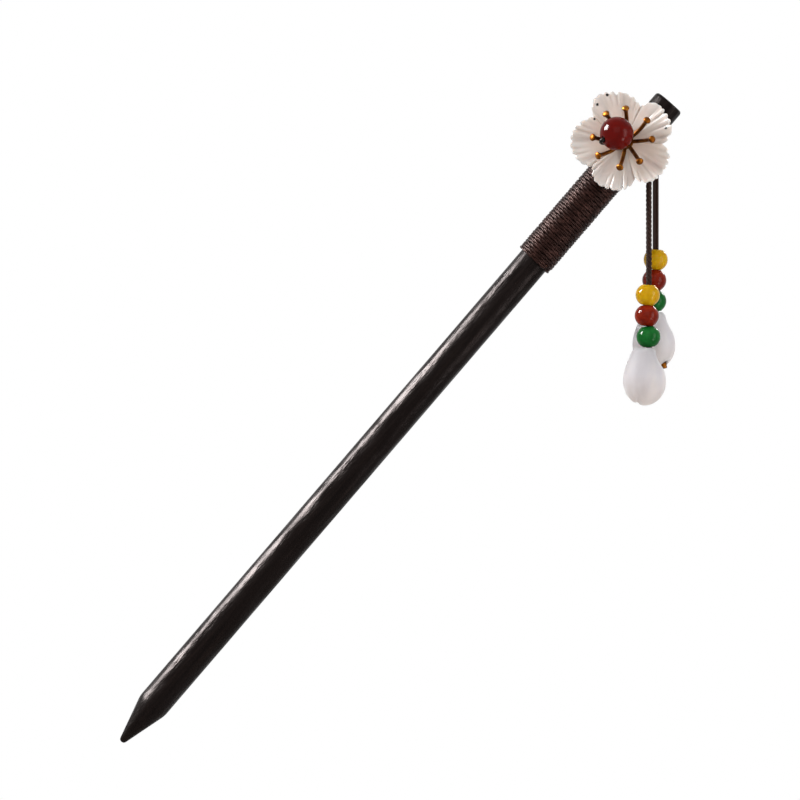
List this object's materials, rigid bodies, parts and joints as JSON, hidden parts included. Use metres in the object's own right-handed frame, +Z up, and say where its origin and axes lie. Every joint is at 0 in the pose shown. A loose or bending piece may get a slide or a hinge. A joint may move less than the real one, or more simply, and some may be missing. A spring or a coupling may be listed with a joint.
{
  "type": "decorative hair pin",
  "caption": "Round wooden hair stick with a pointed end, a thread winding, a carved shell flower with brass stamens and a bead, and two hanging bead strands with shell drops.",
  "frame": {"origin": "on the stick's axis, in the middle of the length that hair grips", "axes": "+Z up as worn, with the strands hanging along -Z; the stick slants up towards +X; the flower faces -Y"},
  "size_m": [0.1198, 0.0224, 0.1393],
  "materials": {
    "wood": "polished near-black brown hardwood",
    "thread": "dark brown waxed thread",
    "shell": "carved pearly white shell",
    "brass": "antique brass",
    "center_stone": "polished dark red stone",
    "wire": "dark brown wire",
    "cord": "black braided cord",
    "green_stone": "polished green stone",
    "red_stone": "polished orange-red stone",
    "yellow_stone": "polished yellow stone",
    "drop_shell": "translucent white shell"
  },
  "bodies": {
    "pin": {"stick": "wood", "thread_winding": "thread", "shell_flower": "shell", "stamen_spray": "brass", "center_bead": "center_stone", "tie_wire": "wire", "cord_bridge": "cord"},
    "front_cord_top": {"front_cord_upper": "cord"},
    "front_cord_end": {"front_cord_lower": "cord"},
    "front_green": {"front_bead_green": "green_stone"},
    "front_red": {"front_bead_red": "red_stone"},
    "front_yellow": {"front_bead_yellow": "yellow_stone"},
    "front_drop": {"front_drop": "drop_shell", "front_drop_cord": "cord", "front_crimp": "brass"},
    "back_cord_top": {"back_cord_upper": "cord"},
    "back_cord_end": {"back_cord_lower": "cord"},
    "back_green": {"back_bead_green": "green_stone"},
    "back_red": {"back_bead_red": "red_stone"},
    "back_yellow": {"back_bead_yellow": "yellow_stone"},
    "back_drop": {"back_drop": "drop_shell", "back_drop_cord": "cord", "back_crimp": "brass"}
  },
  "joints": [
    {"name": "front_sway", "type": "hinge", "parent": "pin", "child": "front_cord_top", "pos_m": [0.06541, -0.00413, 0.07606], "axis": [0, 1, 0], "range_deg": [-60, 25]},
    {"name": "front_nod", "type": "hinge", "parent": "front_cord_top", "child": "front_cord_end", "pos_m": [0.06541, -0.00413, 0.06279], "axis": [1, 0, 0], "range_deg": [-50, 0]},
    {"name": "front_green_slide", "type": "slide", "parent": "front_cord_end", "child": "front_green", "axis": [0, 0, 1], "range_m": [0, 0.0035]},
    {"name": "front_red_slide", "type": "slide", "parent": "front_green", "child": "front_red", "axis": [0, 0, 1], "range_m": [0, 0.0035]},
    {"name": "front_yellow_slide", "type": "slide", "parent": "front_red", "child": "front_yellow", "axis": [0, 0, 1], "range_m": [0, 0.0035]},
    {"name": "front_drop_spin", "type": "hinge", "parent": "front_cord_end", "child": "front_drop", "pos_m": [0.06541, -0.00413, 0.02909], "axis": [0, 0, 1], "continuous": true},
    {"name": "back_sway", "type": "hinge", "parent": "pin", "child": "back_cord_top", "pos_m": [0.06709, 0.00413, 0.07462], "axis": [0, 1, 0], "range_deg": [-60, 25]},
    {"name": "back_nod", "type": "hinge", "parent": "back_cord_top", "child": "back_cord_end", "pos_m": [0.06709, 0.00413, 0.06279], "axis": [1, 0, 0], "range_deg": [0, 50]},
    {"name": "back_green_slide", "type": "slide", "parent": "back_cord_end", "child": "back_green", "axis": [0, 0, 1], "range_m": [0, 0.0035]},
    {"name": "back_red_slide", "type": "slide", "parent": "back_green", "child": "back_red", "axis": [0, 0, 1], "range_m": [0, 0.0035]},
    {"name": "back_yellow_slide", "type": "slide", "parent": "back_red", "child": "back_yellow", "axis": [0, 0, 1], "range_m": [0, 0.0035]},
    {"name": "back_drop_spin", "type": "hinge", "parent": "back_cord_end", "child": "back_drop", "pos_m": [0.06709, 0.00413, 0.03679], "axis": [0, 0, 1], "continuous": true}
  ]
}
